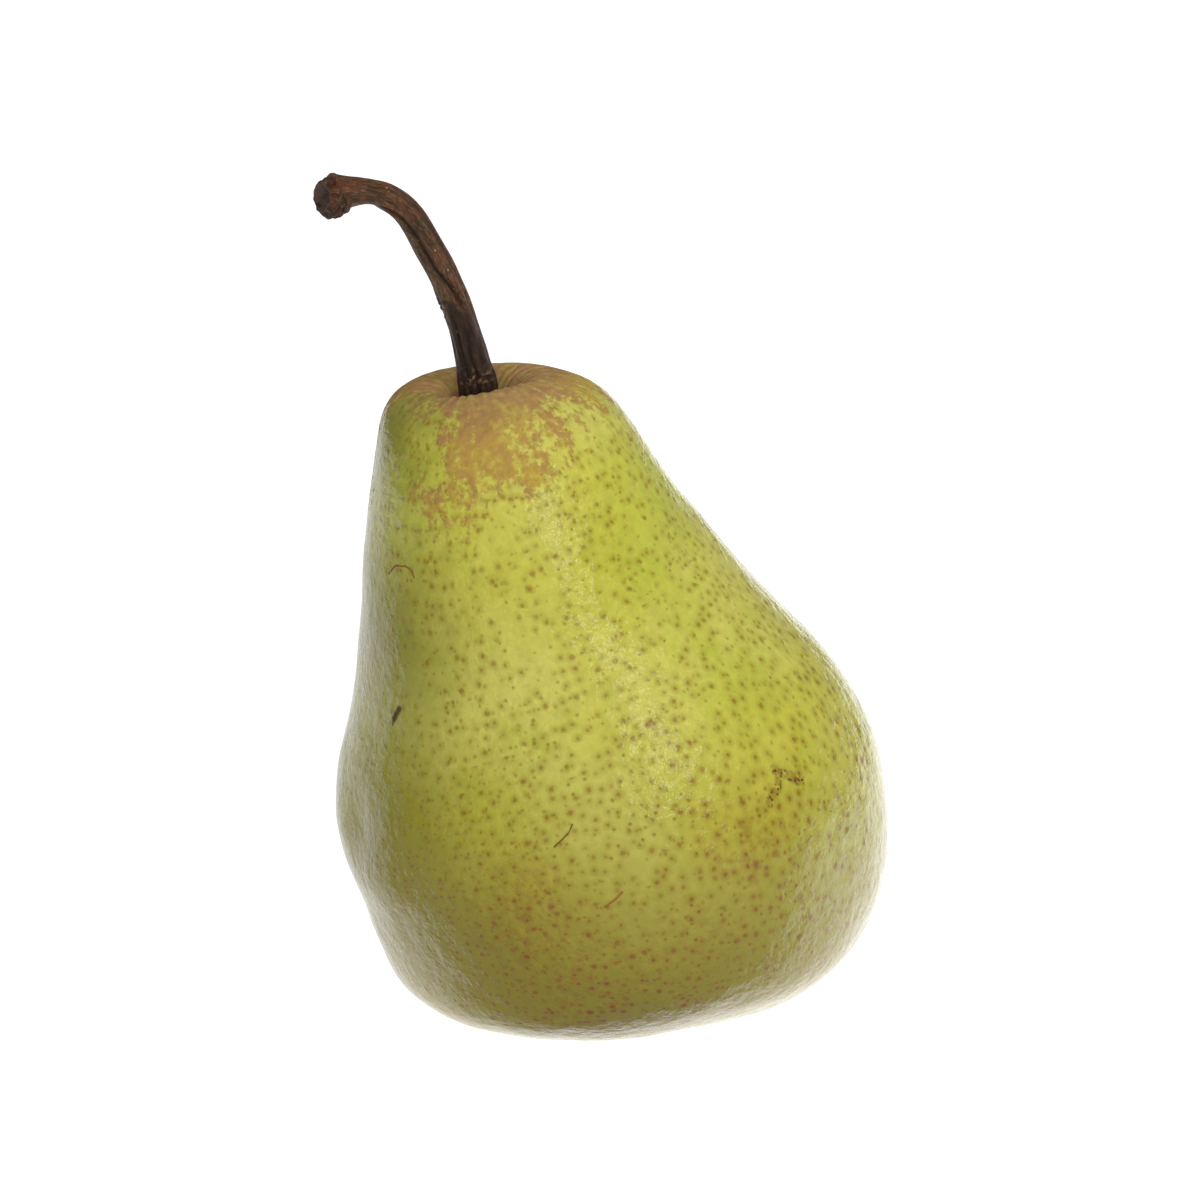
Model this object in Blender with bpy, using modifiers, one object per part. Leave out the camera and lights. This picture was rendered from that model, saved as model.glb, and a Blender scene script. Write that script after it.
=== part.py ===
"""A fresh pear standing on its blossom end, with its woody stalk and the dried flower remains underneath.

The flesh and skin grew as one piece, pear_body. The stalk, the calyx cup and its five sepals are pieces of
their own. Lengths in the constants are millimetres; the finished meshes are in metres, +Z up, with the origin
on the flat spot the fruit rests on, close beside the point under its centre of mass.
"""

import math

import bmesh
import bpy
from mathutils import Vector

MM = 0.001

# Outline of the fruit before it is bent, from the centre of the blossom basin to the centre of the stalk
# cavity: height along the core and radius.
BODY_OUTLINE = (
    (5.0, 0.0),
    (4.9, 2.0),
    (4.3, 3.7),
    (2.4, 5.2),
    (0.6, 7.0),
    (0.0, 11.0),
    (1.4, 19.5),
    (4.8, 26.0),
    (10.5, 31.2),
    (18.0, 34.2),
    (27.0, 35.0),
    (36.0, 33.4),
    (45.0, 29.8),
    (53.0, 26.2),
    (61.0, 23.4),
    (70.0, 20.4),
    (78.0, 17.3),
    (83.5, 13.8),
    (86.0, 9.4),
    (86.2, 6.2),
    (84.9, 4.6),
    (83.3, 3.7),
    (82.3, 2.8),
    (82.0, 0.0),
)
DEPTH_TO_WIDTH = 0.96  # the fruit is a little flatter front to back than side to side
OUTLINE_STEPS = 2
TURN_STEPS = 60

# The core leans towards -X, most of all at the waist, and nods steadily towards -Y: degrees and heights.
LEAN_AT_ENDS = 3.0
LEAN_ADDED = 18.5
LEAN_HEIGHT = 47.0
LEAN_SPREAD = 24.0
NOD_AT_TOP = 4.0
TOP_HEIGHT = 86.0
CORE_STEP = 1.0

# Both hollows sit off the core: the sideways shift of each, the radius over which it fades, and a height
# between the two.
BASIN_SHIFT = 5.0
CAVITY_SHIFT = -2.0
SHIFT_FADE = 10.0
MID_HEIGHT = 40.0

# Lobes (outwards) and hollows (inwards) that make the fruit uneven:
# azimuth in degrees from +X, height, spread around in degrees, spread along, and how far the surface moves.
SWELLINGS = (
    (180.0, 42.5, 45.0, 9.5, 2.0),  # cheek on the left
    (180.0, 21.0, 50.0, 7.0, -1.0),  # slack below that cheek
    (180.0, 61.0, 45.0, 9.0, -0.9),  # waist on the left
    (215.0, 7.0, 40.0, 4.5, 1.9),  # low lobe at the front left
    (0.0, 20.0, 60.0, 12.0, 0.6),  # belly on the right
    (0.0, 45.0, 65.0, 10.0, -1.4),  # waist on the right
    (180.0, 74.0, 50.0, 11.0, -1.5),  # neck under the left shoulder
    (170.0, 85.0, 50.0, 4.0, 1.2),  # shoulder left of the stalk
    (335.0, 86.0, 50.0, 6.0, 0.9),  # shoulder right of the stalk
    (325.0, 8.0, 30.0, 5.0, 0.8),  # low lobe at the front right
    (295.0, 3.0, 25.0, 5.0, -0.7),  # furrow running into the basin
)
SWELLING_FROM_RADIUS = 3.0  # nearer the core the surface keeps its outline
SWELLING_FULL_AFTER = 6.0

# The spot the fruit rests on, measured from the foot of the core.
FOOT_X = -8.0
FOOT_Y = -0.5
FOOT_CUT = 0.3
FLOOR_SIDE = 80.0
FLOOR_DEPTH = 10.0

# Stalk: the way its middle runs, from its foot in the cavity, and its radius there.
STALK_FOOT_HEIGHT = 82.8
STALK_LINE = (
    ((0.0, 0.0, 0.0), 1.9),
    ((0.0, -0.1, 1.6), 2.3),
    ((-0.3, -0.2, 4.4), 2.3),
    ((-1.7, -0.5, 10.5), 1.9),
    ((-3.8, -0.9, 16.6), 1.85),
    ((-6.4, -1.3, 22.5), 1.75),
    ((-9.1, -1.6, 26.4), 1.75),
    ((-11.4, -1.8, 28.3), 1.7),
    ((-13.6, -2.0, 29.1), 1.5),
    ((-16.0, -2.2, 29.3), 1.7),
    ((-17.8, -2.3, 28.9), 2.5),
    ((-19.2, -2.4, 28.6), 2.8),
    ((-20.2, -2.4, 28.6), 2.4),
)
STALK_STEPS = 3
STALK_SIDES_SETTING = 2

# Dried flower remains in the basin. The cup is open towards the floor.
CALYX_RADIUS = 2.0
CALYX_WALL = 0.6
CALYX_TOP = 4.6
CALYX_HEIGHT = 1.5
CALYX_HOLLOW = 0.83  # depth of the cup's hollow
CALYX_STEPS = 24

# Each sepal hangs from a ring around the cup and curls outwards at its tip.
SEPAL_COUNT = 5
SEPAL_FIRST_AZIMUTH = 18.0
SEPAL_LENGTH = 3.24
SEPAL_WIDTH = 2.1
SEPAL_TAPER = 0.85
SEPAL_THICKNESS = 0.35
SEPAL_RING = 2.75
SEPAL_CURL = 0.9
SEPAL_CUPPING = 0.22
SEPAL_HUB_HEIGHT = 4.3

ROUND = 2.0 * math.pi


def clear_scene():
    for obj in list(bpy.data.objects):
        bpy.data.objects.remove(obj, do_unlink=True)


def new_collection(name):
    collection = bpy.data.collections.new(name)
    bpy.context.scene.collection.children.link(collection)
    return collection


def new_object(name, data, collection):
    obj = bpy.data.objects.new(name, data)
    collection.objects.link(obj)
    return obj


def skin(name, colour, roughness):
    material = bpy.data.materials.new(name)
    material.use_nodes = True
    shader = material.node_tree.nodes["Principled BSDF"]
    shader.inputs["Base Color"].default_value = (*colour, 1.0)
    shader.inputs["Roughness"].default_value = roughness
    material.diffuse_color = (*colour, 1.0)
    return material


def smooth_through(points, steps):
    """Points on a smooth line through the given ones, with this many steps from each to the next."""
    rows = [Vector(p) for p in points]
    rows.insert(0, 2.0 * rows[0] - rows[1])
    rows.append(2.0 * rows[-1] - rows[-2])
    line = []
    for before, start, end, after in zip(rows, rows[1:], rows[2:], rows[3:]):
        for step in range(steps):
            t = step / steps
            bend = 2.0 * before - 5.0 * start + 4.0 * end - after
            twist = 3.0 * start - before - 3.0 * end + after
            line.append(0.5 * (2.0 * start + (end - before) * t + bend * t**2 + twist * t**3))
    line.append(rows[-2])
    return line


def core_way(height):
    """Lean and nod of the core at a height, in radians."""
    rise = (height - LEAN_HEIGHT) / LEAN_SPREAD
    lean = LEAN_AT_ENDS + LEAN_ADDED * math.exp(-rise * rise)
    nod = NOD_AT_TOP * height / TOP_HEIGHT
    return math.radians(lean), math.radians(nod)


def core_point(height):
    """Where the core is at a height."""
    place = Vector((0.0, 0.0, 0.0))
    steps = max(1, round(abs(height) / CORE_STEP))
    for step in range(steps):
        lean, nod = core_way(height * (step + 0.5) / steps)
        way = Vector((-math.sin(lean), -math.sin(nod) * math.cos(lean), math.cos(lean) * math.cos(nod)))
        place += way * (height / steps)
    return place


def fruit_point(across, deep, height):
    """A point given beside the straight core, carried onto the leaning one, from the resting spot."""
    place = core_point(height)
    lean, nod = core_way(height)
    place.x += across * math.cos(lean) - FOOT_X
    place.y += deep * math.cos(nod) - FOOT_Y
    place.z += across * math.sin(lean) + deep * math.sin(nod) - FOOT_CUT
    return place * MM


def swelling(azimuth, height, radius):
    """How far the surface is pushed outwards at an azimuth and height."""
    total = 0.0
    for centre, level, around, along, push in SWELLINGS:
        turn = math.remainder(azimuth - math.radians(centre), ROUND) / math.radians(around)
        rise = (height - level) / along
        total += push * math.exp(-turn * turn - rise * rise)
    return total * min(max((radius - SWELLING_FROM_RADIUS) / SWELLING_FULL_AFTER, 0.0), 1.0)


def hollow_shift(radius, height):
    """Sideways shift of the surface near the two hollows."""
    shift = BASIN_SHIFT if height < MID_HEIGHT else CAVITY_SHIFT
    return shift * math.exp(-((radius / SHIFT_FADE) ** 2))


def evaluated_mesh(obj):
    graph = bpy.context.evaluated_depsgraph_get()
    return bpy.data.meshes.new_from_object(obj.evaluated_get(graph))


def outline_object(name, outline, collection):
    """A wire of (height, radius) points from top to bottom, ready to be turned about Z."""
    points = [(radius, 0.0, height) for height, radius in outline]
    edges = [(i, i + 1) for i in range(len(points) - 1)]
    mesh = bpy.data.meshes.new(name)
    mesh.from_pydata(points, edges, [])
    return new_object(name, mesh, collection)


def turn(obj, steps):
    screw = obj.modifiers.new("Turn", "SCREW")
    screw.axis = "Z"
    screw.steps = steps
    screw.render_steps = steps
    screw.use_merge_vertices = True
    screw.merge_threshold = 0.0001


def make_resting_cutter(cutters):
    """A block whose top is the floor."""
    floor = bmesh.new()
    bmesh.ops.create_cube(floor, size=1.0)
    bmesh.ops.scale(floor, vec=(FLOOR_SIDE * MM, FLOOR_SIDE * MM, FLOOR_DEPTH * MM), verts=floor.verts)
    bmesh.ops.translate(floor, vec=(0.0, 0.0, -0.5 * FLOOR_DEPTH * MM), verts=floor.verts)
    mesh = bpy.data.meshes.new("resting_cut")
    floor.to_mesh(mesh)
    floor.free()
    cutter = new_object("resting_cut", mesh, cutters)
    cutter.display_type = "WIRE"
    cutter.hide_render = True
    return cutter


def make_body(collection, cutters, material):
    """Flesh and skin in one: the outline turned, swollen unevenly, bent along the core and cut flat below."""
    outline = [(row.x, max(row.y, 0.0)) for row in smooth_through(BODY_OUTLINE, OUTLINE_STEPS)]
    pattern = outline_object("body_outline", reversed(outline), cutters)
    turn(pattern, TURN_STEPS)
    mesh = evaluated_mesh(pattern)
    bpy.data.objects.remove(pattern, do_unlink=True)

    shape = bmesh.new()
    shape.from_mesh(mesh)
    bmesh.ops.recalc_face_normals(shape, faces=shape.faces)
    shape.normal_update()
    moved = []
    for vertex in shape.verts:
        radius = math.hypot(vertex.co.x, vertex.co.y)
        azimuth = math.atan2(vertex.co.y, vertex.co.x)
        grown = vertex.co + vertex.normal * swelling(azimuth, vertex.co.z, radius)
        across = grown.x + hollow_shift(radius, vertex.co.z)
        moved.append(fruit_point(across, grown.y * DEPTH_TO_WIDTH, grown.z))
    for vertex, place in zip(shape.verts, moved):
        vertex.co = place
    shape.to_mesh(mesh)
    shape.free()
    mesh.name = "pear_body"
    mesh.shade_smooth()
    mesh.materials.append(material)
    body = new_object("pear_body", mesh, collection)

    flat = body.modifiers.new("Resting flat", "BOOLEAN")
    flat.operation = "DIFFERENCE"
    flat.solver = "EXACT"
    flat.object = make_resting_cutter(cutters)
    body.data = evaluated_mesh(body)
    body.modifiers.clear()
    body.data.set_sharp_from_angle(angle=math.radians(35.0))
    return body


def make_stalk(collection, material):
    """One wire of changing thickness: its points' radii are in millimetres."""
    foot = fruit_point(CAVITY_SHIFT, 0.0, STALK_FOOT_HEIGHT)
    line = smooth_through([(*place, radius) for place, radius in STALK_LINE], STALK_STEPS)
    curve = bpy.data.curves.new("stem", "CURVE")
    curve.dimensions = "3D"
    curve.bevel_depth = MM
    curve.bevel_resolution = STALK_SIDES_SETTING
    curve.use_fill_caps = True
    spline = curve.splines.new("POLY")
    spline.points.add(len(line) - 1)
    for point, row in zip(spline.points, line):
        place = foot + Vector((row[0], row[1], row[2])) * MM
        point.co = (*place, 1.0)
        point.radius = row[3]
    spline.use_smooth = True
    curve.materials.append(material)
    return new_object("stem", curve, collection)


def make_calyx(collection, material):
    """The cup the flower left."""
    inner = CALYX_RADIUS - CALYX_WALL
    ceiling = CALYX_HOLLOW - CALYX_HEIGHT
    outline = (
        (0.0, 0.0),
        (0.0, 0.85 * CALYX_RADIUS),
        (-0.35 * CALYX_HEIGHT, CALYX_RADIUS),
        (-CALYX_HEIGHT, 0.95 * CALYX_RADIUS),
        (-CALYX_HEIGHT, inner),
        (ceiling, 0.9 * inner),
        (ceiling, 0.0),
    )
    cup = outline_object("calyx", [(h * MM, r * MM) for h, r in outline], collection)
    turn(cup, CALYX_STEPS)
    cup.modifiers["Turn"].use_smooth_shade = True
    cup.modifiers["Turn"].merge_threshold = 0.00001
    cup.location = fruit_point(BASIN_SHIFT, 0.0, CALYX_TOP)
    cup.data.materials.append(material)
    return cup


def make_sepal(number, collection, material):
    """One dried sepal: a pointed, slightly cupped blade."""
    blade = bmesh.new()
    bmesh.ops.create_grid(blade, x_segments=4, y_segments=8, size=0.5)
    angle = ROUND * (number - 1) / SEPAL_COUNT + math.radians(SEPAL_FIRST_AZIMUTH)
    hub = fruit_point(BASIN_SHIFT, 0.0, SEPAL_HUB_HEIGHT)
    for vertex in blade.verts:
        along = vertex.co.y + 0.5
        side = vertex.co.x * SEPAL_WIDTH * (1.0 - SEPAL_TAPER * along**1.5)
        outwards = SEPAL_RING + SEPAL_CURL * along**2 - SEPAL_CUPPING * side**2
        x = outwards * math.cos(angle) - side * math.sin(angle)
        y = outwards * math.sin(angle) + side * math.cos(angle)
        vertex.co = hub + Vector((x, y, -SEPAL_LENGTH * along)) * MM
    name = f"sepal_{number}"
    mesh = bpy.data.meshes.new(name)
    blade.to_mesh(mesh)
    blade.free()
    mesh.shade_smooth()
    mesh.materials.append(material)
    sepal = new_object(name, mesh, collection)
    thick = sepal.modifiers.new("Thickness", "SOLIDIFY")
    thick.thickness = SEPAL_THICKNESS * MM
    thick.offset = 0.0
    return sepal


def main():
    clear_scene()
    pear = new_collection("pear")
    cutters = new_collection("cutters")
    green = skin("pear_skin", (0.42, 0.47, 0.08), 0.45)
    bark = skin("stalk_bark", (0.11, 0.06, 0.03), 0.8)
    husk = skin("calyx_husk", (0.09, 0.055, 0.03), 0.9)
    dry_leaf = skin("sepal_husk", (0.07, 0.045, 0.03), 0.9)
    make_body(pear, cutters, green)
    make_stalk(pear, bark)
    make_calyx(pear, husk)
    for number in range(1, SEPAL_COUNT + 1):
        make_sepal(number, pear, dry_leaf)


main()
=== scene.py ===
"""A green pear on a bright table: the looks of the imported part.

The skin is built again from the part's outline on a finer grid, so that freckles, russet and small lumps
have something to sit on. Lengths in the constants are millimetres, except in the studio. Everything in the
scene is in metres, +Z up, in the part's own frame. Azimuths are degrees from +X, counted towards the back
(+Y), so 270 faces the camera.
"""

import functools
import math

import bpy
import numpy as np
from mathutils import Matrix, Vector, noise


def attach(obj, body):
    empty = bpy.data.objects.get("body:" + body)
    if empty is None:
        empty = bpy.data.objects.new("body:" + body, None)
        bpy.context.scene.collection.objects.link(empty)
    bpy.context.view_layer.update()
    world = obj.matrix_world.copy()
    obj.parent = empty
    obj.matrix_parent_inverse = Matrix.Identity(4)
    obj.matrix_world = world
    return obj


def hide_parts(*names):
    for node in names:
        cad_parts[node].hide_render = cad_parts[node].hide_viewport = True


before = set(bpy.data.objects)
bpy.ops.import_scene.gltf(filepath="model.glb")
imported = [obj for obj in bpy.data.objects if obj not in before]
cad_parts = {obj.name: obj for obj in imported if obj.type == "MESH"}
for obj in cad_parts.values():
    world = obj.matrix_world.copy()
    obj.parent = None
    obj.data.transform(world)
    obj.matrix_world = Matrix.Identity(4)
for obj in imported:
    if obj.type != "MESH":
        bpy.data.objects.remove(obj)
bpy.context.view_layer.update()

MM = 0.001
ROUND = 2.0 * math.pi

# ---------------- the fruit's shape, as in the part

# Height along the core and radius, from the blossom basin to the stalk cavity.
BODY_OUTLINE = (
    (5.0, 0.0),
    (4.9, 2.0),
    (4.3, 3.7),
    (2.4, 5.2),
    (0.6, 7.0),
    (0.0, 11.0),
    (1.4, 19.5),
    (4.8, 26.0),
    (10.5, 31.2),
    (18.0, 34.2),
    (27.0, 35.0),
    (36.0, 33.4),
    (45.0, 29.8),
    (53.0, 26.2),
    (61.0, 23.4),
    (70.0, 20.4),
    (78.0, 17.3),
    (83.5, 13.8),
    (86.0, 9.4),
    (86.2, 6.2),
    (84.9, 4.6),
    (83.3, 3.7),
    (82.3, 2.8),
    (82.0, 0.0),
)
DEPTH_TO_WIDTH = 0.96
LEAN_AT_ENDS = 3.0
LEAN_ADDED = 18.5
LEAN_HEIGHT = 47.0
LEAN_SPREAD = 24.0
NOD_AT_TOP = 4.0
TOP_HEIGHT = 86.0
BASIN_SHIFT = 5.0
CAVITY_SHIFT = -2.0
SHIFT_FADE = 10.0
MID_HEIGHT = 40.0
FOOT = (-8.0, -0.5, 0.3)

# Lobes and hollows: azimuth, height, spread around in degrees, spread along, and how far the skin moves.
SWELLINGS = (
    (180.0, 42.5, 45.0, 9.5, 2.0),
    (180.0, 21.0, 50.0, 7.0, -1.0),
    (180.0, 61.0, 45.0, 9.0, -0.9),
    (215.0, 7.0, 40.0, 4.5, 1.9),
    (0.0, 20.0, 60.0, 12.0, 0.6),
    (0.0, 45.0, 65.0, 10.0, -1.4),
    (180.0, 74.0, 50.0, 11.0, -1.5),
    (170.0, 85.0, 50.0, 4.0, 1.2),
    (335.0, 86.0, 50.0, 6.0, 0.9),
    (325.0, 8.0, 30.0, 5.0, 0.8),
    (295.0, 3.0, 25.0, 5.0, -0.7),
)
SWELLING_FROM_RADIUS = 3.0
SWELLING_FULL_AFTER = 6.0

# ---------------- what the looks add to it

RINGS = 316
TURNS = 288
OUTLINE_STEPS = 24
FINE_STEP = 0.1
OUTLINE_EASE = 1.1  # rounds the outline's slight kinks over this length

# Lumps that can be felt: length and height of each size.
LUMPS = (
    (13.0, 0.22),
    (6.0, 0.13),
    (2.6, 0.035),
)
# Single dents and bulges: azimuth, height, reach, and how far the skin moves.
DENTS = (
    (204.0, 40.0, 4.0, -0.7),
    (212.0, 30.0, 5.0, 0.35),
    (222.0, 24.0, 7.0, -0.35),
    (330.0, 66.0, 4.0, 0.35),
    (332.0, 59.0, 3.5, -0.3),
    (334.0, 54.0, 3.5, 0.3),
    (292.0, 46.0, 6.0, 0.25),
    (286.0, 66.0, 5.0, 0.25),
)
LUMPS_FROM_RADIUS = 2.0
LUMPS_FULL_AFTER = 6.0
OUTSIDE_FROM_RADIUS = 8.0  # the outside of the fruit has at least this radius
# The folds of the stalk cavity: where its rim starts and is full, the rim's radius and spread, and the folds.
RIM_FROM_HEIGHT = 81.0
RIM_FULL_AFTER = 3.0
RIM_RADIUS = 6.5
RIM_SPREAD = 2.6
CAVITY_FOLDS = 31
CAVITY_FOLD_DEPTH = 0.075
CAVITY_FOLD_WANDER = 5.0
CAVITY_FOLD_WAVES = 4.0
# The front rim of the cavity stands higher: azimuth and spread, radius and spread, and height.
FRONT_RIM = (288.0, 62.0, 6.4, 2.6, 1.15)


def smooth_through(points, steps):
    """Points on a smooth line through the given ones, with this many steps from each to the next."""
    rows = [np.array(p, float) for p in points]
    rows.insert(0, 2.0 * rows[0] - rows[1])
    rows.append(2.0 * rows[-1] - rows[-2])
    line = []
    for before, start, end, after in zip(rows, rows[1:], rows[2:], rows[3:]):
        for step in range(steps):
            t = step / steps
            bend = 2.0 * before - 5.0 * start + 4.0 * end - after
            twist = 3.0 * start - before - 3.0 * end + after
            line.append(0.5 * (2.0 * start + (end - before) * t + bend * t**2 + twist * t**3))
    line.append(rows[-2])
    return np.array(line)


def lengths_along(line):
    """Distance of each point of a line from its first."""
    return np.concatenate([[0.0], np.cumsum(np.linalg.norm(np.diff(line, axis=0), axis=1))])


def spaced_by(line, reach, places):
    """The line's points at these places, where its own points are at reach."""
    return np.stack([np.interp(places, reach, column) for column in line.T], axis=1)


def spaced(line, places):
    """The line's points at these distances along it."""
    return spaced_by(line, lengths_along(line), places)


def turned(azimuth, centre):
    """Degrees from one azimuth to another, the short way around."""
    away = azimuth - centre
    return away - 360.0 * np.round(away / 360.0)


def eased_outline():
    """Rows of (height, radius, way out in height, way out in radius), evenly spaced from basin to cavity."""
    line = smooth_through(BODY_OUTLINE, OUTLINE_STEPS)
    total = lengths_along(line)[-1]
    fine = spaced(line, np.arange(0.0, total, FINE_STEP))
    reach = int(4 * OUTLINE_EASE / FINE_STEP)
    flip = np.array([1.0, -1.0])
    padded = np.concatenate([fine[reach:0:-1] * flip, fine, fine[-2 : -reach - 2 : -1] * flip])
    bell = np.exp(-0.5 * (np.arange(-reach, reach + 1) * FINE_STEP / OUTLINE_EASE) ** 2)
    bell /= bell.sum()
    eased = np.stack([np.convolve(column, bell, "valid") for column in padded.T], axis=1)
    eased[0, 1] = eased[-1, 1] = 0.0
    rows = spaced(eased, np.linspace(0.0, lengths_along(eased)[-1], RINGS + 1))
    way = np.gradient(rows, axis=0)
    way /= np.linalg.norm(way, axis=1)[:, None]
    return rows[:, 0], np.maximum(rows[:, 1], 0.0), -way[:, 1], way[:, 0]


def core_way(height):
    rise = (height - LEAN_HEIGHT) / LEAN_SPREAD
    lean = LEAN_AT_ENDS + LEAN_ADDED * np.exp(-rise * rise)
    nod = NOD_AT_TOP * height / TOP_HEIGHT
    return np.radians(lean), np.radians(nod)


CORE_HEIGHTS = np.arange(-10.0, 100.0, 0.05)


def core_line():
    """Places of the leaning core at CORE_HEIGHTS."""
    lean, nod = core_way(CORE_HEIGHTS)
    way = np.stack([-np.sin(lean), -np.sin(nod) * np.cos(lean), np.cos(lean) * np.cos(nod)], axis=1)
    step = CORE_HEIGHTS[1] - CORE_HEIGHTS[0]
    line = np.concatenate([[[0.0, 0.0, 0.0]], np.cumsum(0.5 * (way[1:] + way[:-1]) * step, axis=0)])
    start = [np.interp(0.0, CORE_HEIGHTS, column) for column in line.T]
    return line - start


CORE_LINE = core_line()


def fruit_points(across, deep, height):
    """Points given beside the straight core, carried onto the leaning one, in metres."""
    place = np.stack([np.interp(height, CORE_HEIGHTS, column) for column in CORE_LINE.T], axis=-1)
    lean, nod = core_way(height)
    place[..., 0] += across * np.cos(lean)
    place[..., 1] += deep * np.cos(nod)
    place[..., 2] += across * np.sin(lean) + deep * np.sin(nod)
    return (place - np.array(FOOT)) * MM


def swelling(azimuth, height, radius):
    total = np.zeros_like(azimuth)
    for centre, level, around, along, push in SWELLINGS:
        turn = turned(azimuth, centre) / around
        rise = (height - level) / along
        total += push * np.exp(-turn * turn - rise * rise)
    return total * np.clip((radius - SWELLING_FROM_RADIUS) / SWELLING_FULL_AFTER, 0.0, 1.0)


def skin_grid():
    """Places (rings, turns, 3) in metres of the bare shape, and the azimuth, height and radius of each."""
    height, radius, out_height, out_radius = eased_outline()
    azimuth = 90.0 + 360.0 * np.arange(TURNS) / TURNS
    azimuth, height = np.meshgrid(azimuth % 360.0, height)
    radius = np.repeat(radius[:, None], TURNS, axis=1)
    push = swelling(azimuth, height, radius)
    wide = radius + push * out_radius[:, None]
    tall = height + push * out_height[:, None]
    shift = np.where(height < MID_HEIGHT, BASIN_SHIFT, CAVITY_SHIFT) * np.exp(-((radius / SHIFT_FADE) ** 2))
    across = wide * np.cos(np.radians(azimuth)) + shift
    deep = wide * np.sin(np.radians(azimuth)) * DEPTH_TO_WIDTH
    return fruit_points(across, deep, tall), azimuth, height, radius


SKIN, AZIMUTH, HEIGHT, RADIUS = skin_grid()


def way_out(grid):
    """Outward unit normals of a grid that is closed around."""
    along = np.gradient(grid, axis=0)
    around = np.roll(grid, -1, axis=1) - np.roll(grid, 1, axis=1)
    normal = np.cross(around, along)
    size = np.linalg.norm(normal, axis=2, keepdims=True)
    return normal / np.maximum(size, 1e-12)


def noise_at(points, length, seed):
    """Smooth noise from about -1 to 1 whose waves are this long, in millimetres."""
    offset = Vector((17.3 * seed, -9.1 * seed, 5.7 * seed))
    scale = 1.0 / (length * MM)
    flat = points.reshape(-1, 3)
    found = [noise.noise(Vector(p) * scale + offset) for p in flat.tolist()]
    return np.array(found).reshape(points.shape[:-1])


def lumpy_skin():
    """The skin's grid with its lumps and the folds around the stalk, flat where it rests."""
    lumps = sum(noise_at(SKIN, length, seed + 1) * size for seed, (length, size) in enumerate(LUMPS))
    lumps *= np.clip((RADIUS - LUMPS_FROM_RADIUS) / LUMPS_FULL_AFTER, 0.0, 1.0)
    for azimuth, height, reach, push in DENTS:
        column, row = grid_place(azimuth, height)
        centre = SKIN[round(row), round(column) % TURNS]
        away = np.linalg.norm(SKIN - centre, axis=2) / (reach * MM)
        lumps += push * np.exp(-away * away)
    high = np.clip((HEIGHT - RIM_FROM_HEIGHT) / RIM_FULL_AFTER, 0.0, 1.0)
    rim = np.exp(-(((RADIUS - RIM_RADIUS) / RIM_SPREAD) ** 2)) * high
    wander = CAVITY_FOLD_WANDER * noise_at(SKIN, CAVITY_FOLD_WAVES, 9)
    lumps += rim * np.sin(np.radians(AZIMUTH) * CAVITY_FOLDS + wander) * CAVITY_FOLD_DEPTH
    azimuth, around, radius, across, push = FRONT_RIM
    turn = turned(AZIMUTH, azimuth) / around
    raised = push * np.exp(-turn * turn - ((RADIUS - radius) / across) ** 2) * high
    grid = SKIN + way_out(SKIN) * (lumps * MM)[..., None]
    grid[..., 2] += raised * MM
    grid[..., 2] = np.maximum(grid[..., 2], 0.0)
    return grid


def grid_place(azimuth, height):
    """Column and row, with fractions, of a place on the outside of the skin."""
    outside = np.flatnonzero(RADIUS[:, 0] > OUTSIDE_FROM_RADIUS)
    row = float(np.interp(height, HEIGHT[outside, 0], outside))
    return (azimuth - 90.0) % 360.0 / 360.0 * TURNS, row


def on_skin(azimuth, height):
    """The point of the outside at an azimuth and height, in metres."""
    column, row = grid_place(azimuth, height)
    left, low = int(column), int(row)
    right = (left + 1) % TURNS
    across, up = column - left, row - low
    lower = LUMPY[low, left % TURNS] * (1.0 - across) + LUMPY[low, right] * across
    upper = LUMPY[low + 1, left % TURNS] * (1.0 - across) + LUMPY[low + 1, right] * across
    return Vector(lower * (1.0 - up) + upper * up)


LUMPY = lumpy_skin()
SKIN_LENGTH = float(np.hypot(np.diff(HEIGHT[:, 0]), np.diff(RADIUS[:, 0])).sum())


# ---------------- shader building


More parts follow.
